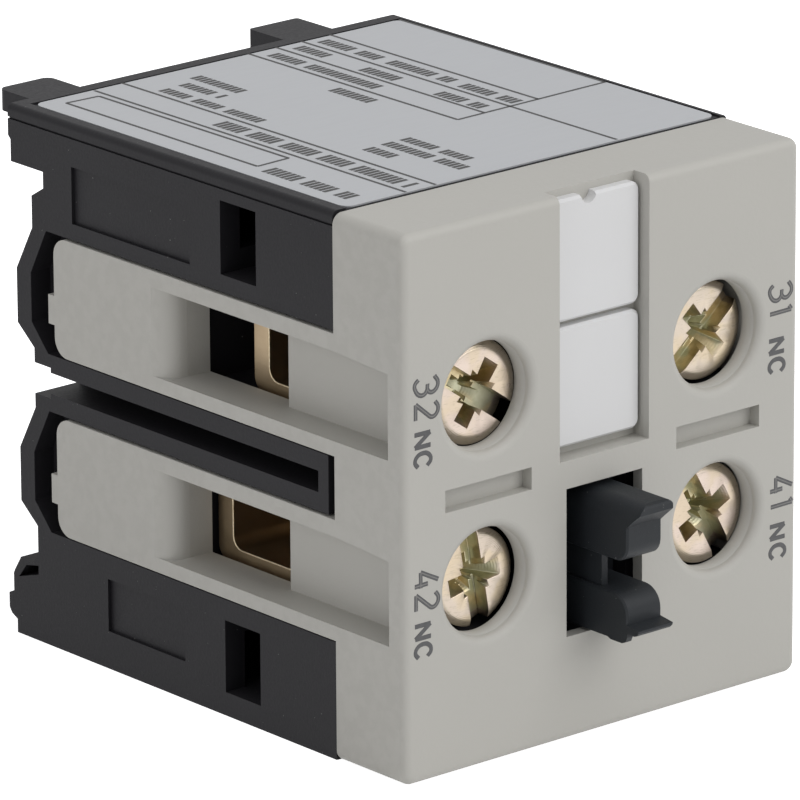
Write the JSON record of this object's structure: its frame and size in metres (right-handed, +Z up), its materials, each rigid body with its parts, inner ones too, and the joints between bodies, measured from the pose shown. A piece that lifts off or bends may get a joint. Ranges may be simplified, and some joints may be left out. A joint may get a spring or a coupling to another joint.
{
  "type": "auxiliary contact block",
  "caption": "Clip-on auxiliary contact block for a relay or contactor: light grey cover, black base, cage screw terminals and a forked spring-loaded slider.",
  "frame": {"origin": "middle of the flat lower side, half way between the front face and the rear edge of the base", "axes": "+Z up, the operating face with the screws towards -Y, the rear that snaps onto the device towards +Y, +X to the right seen from the front"},
  "size_m": [0.027, 0.0388, 0.0293],
  "materials": {
    "cover_plastic": "fine matt moulded, warm light grey",
    "base_plastic": "matt moulded, black",
    "slider_plastic": "satin moulded, black",
    "label_foil": "satin silver foil with dark printed lines",
    "tab_plastic": "satin white",
    "screw_steel": "zinc plated with a yellow tint",
    "cage_brass": "bent strip, slightly dull",
    "contact_brass": "rolled strip",
    "bridge_copper": "rolled spring bronze strip",
    "contact_silver": "silver alloy, satin",
    "spring_steel": "bright wire"
  },
  "bodies": {
    "housing": {"front_cover": "cover_plastic", "rear_base": "base_plastic", "rating_label": "label_foil", "marker_tab_upper": "tab_plastic", "marker_tab_lower": "tab_plastic", "contact_bar_31": "contact_brass", "contact_bar_32": "contact_brass", "contact_bar_41": "contact_brass", "contact_bar_42": "contact_brass", "fixed_tip_31": "contact_silver", "fixed_tip_32": "contact_silver", "fixed_tip_41": "contact_silver", "fixed_tip_42": "contact_silver", "return_spring": "spring_steel"},
    "slider": {"slider": "slider_plastic"},
    "bridge_lower": {"bridge_lower": "bridge_copper", "bridge_tips_lower": "contact_silver", "contact_spring_lower": "spring_steel"},
    "bridge_upper": {"bridge_upper": "bridge_copper", "bridge_tips_upper": "contact_silver", "contact_spring_upper": "spring_steel"},
    "screw_31": {"screw_31": "screw_steel"},
    "cage_31": {"cage_31": "cage_brass"},
    "screw_32": {"screw_32": "screw_steel"},
    "cage_32": {"cage_32": "cage_brass"},
    "screw_41": {"screw_41": "screw_steel"},
    "cage_41": {"cage_41": "cage_brass"},
    "screw_42": {"screw_42": "screw_steel"},
    "cage_42": {"cage_42": "cage_brass"}
  },
  "joints": [
    {"name": "slider_push", "type": "slide", "parent": "housing", "child": "slider", "axis": [0, 1, 0], "range_m": [0, 0.0028], "stiffness_N_per_m": 300, "springref_m": -0.003, "deforming": ["return_spring"]},
    {"name": "bridge_lower_wipe", "type": "slide", "parent": "slider", "child": "bridge_lower", "axis": [0, 1, 0], "range_m": [0, 0.0006], "stiffness_N_per_m": 400, "springref_m": -0.001, "deforming": ["contact_spring_lower"]},
    {"name": "bridge_upper_wipe", "type": "slide", "parent": "slider", "child": "bridge_upper", "axis": [0, 1, 0], "range_m": [0, 0.0006], "stiffness_N_per_m": 400, "springref_m": -0.001, "deforming": ["contact_spring_upper"]},
    {"name": "cage_31_slide", "type": "slide", "parent": "housing", "child": "cage_31", "axis": [0, -1, 0], "range_m": [0, 0.0052]},
    {"name": "screw_31_turn", "type": "hinge", "parent": "housing", "child": "screw_31", "pos_m": [0.00785, -0.01473, 0.01965], "axis": [0, 1, 0], "range_deg": [-0.5, 3120.5]},
    {"name": "cage_32_slide", "type": "slide", "parent": "housing", "child": "cage_32", "axis": [0, -1, 0], "range_m": [-0.0031, 0.0021]},
    {"name": "screw_32_turn", "type": "hinge", "parent": "housing", "child": "screw_32", "pos_m": [-0.00785, -0.01473, 0.01965], "axis": [0, 1, 0], "range_deg": [-1860.5, 1260.5]},
    {"name": "cage_41_slide", "type": "slide", "parent": "housing", "child": "cage_41", "axis": [0, -1, 0], "range_m": [0, 0.0052]},
    {"name": "screw_41_turn", "type": "hinge", "parent": "housing", "child": "screw_41", "pos_m": [0.00785, -0.01473, 0.00975], "axis": [0, 1, 0], "range_deg": [-0.5, 3120.5]},
    {"name": "cage_42_slide", "type": "slide", "parent": "housing", "child": "cage_42", "axis": [0, -1, 0], "range_m": [0, 0.0052]},
    {"name": "screw_42_turn", "type": "hinge", "parent": "housing", "child": "screw_42", "pos_m": [-0.00785, -0.01473, 0.00975], "axis": [0, 1, 0], "range_deg": [-0.5, 3120.5]}
  ],
  "couplings": [
    {"joint": "screw_31_turn", "follows": "cage_31_slide", "rad_per_m": 10472},
    {"joint": "screw_32_turn", "follows": "cage_32_slide", "rad_per_m": 10472},
    {"joint": "screw_41_turn", "follows": "cage_41_slide", "rad_per_m": 10472},
    {"joint": "screw_42_turn", "follows": "cage_42_slide", "rad_per_m": 10472}
  ]
}
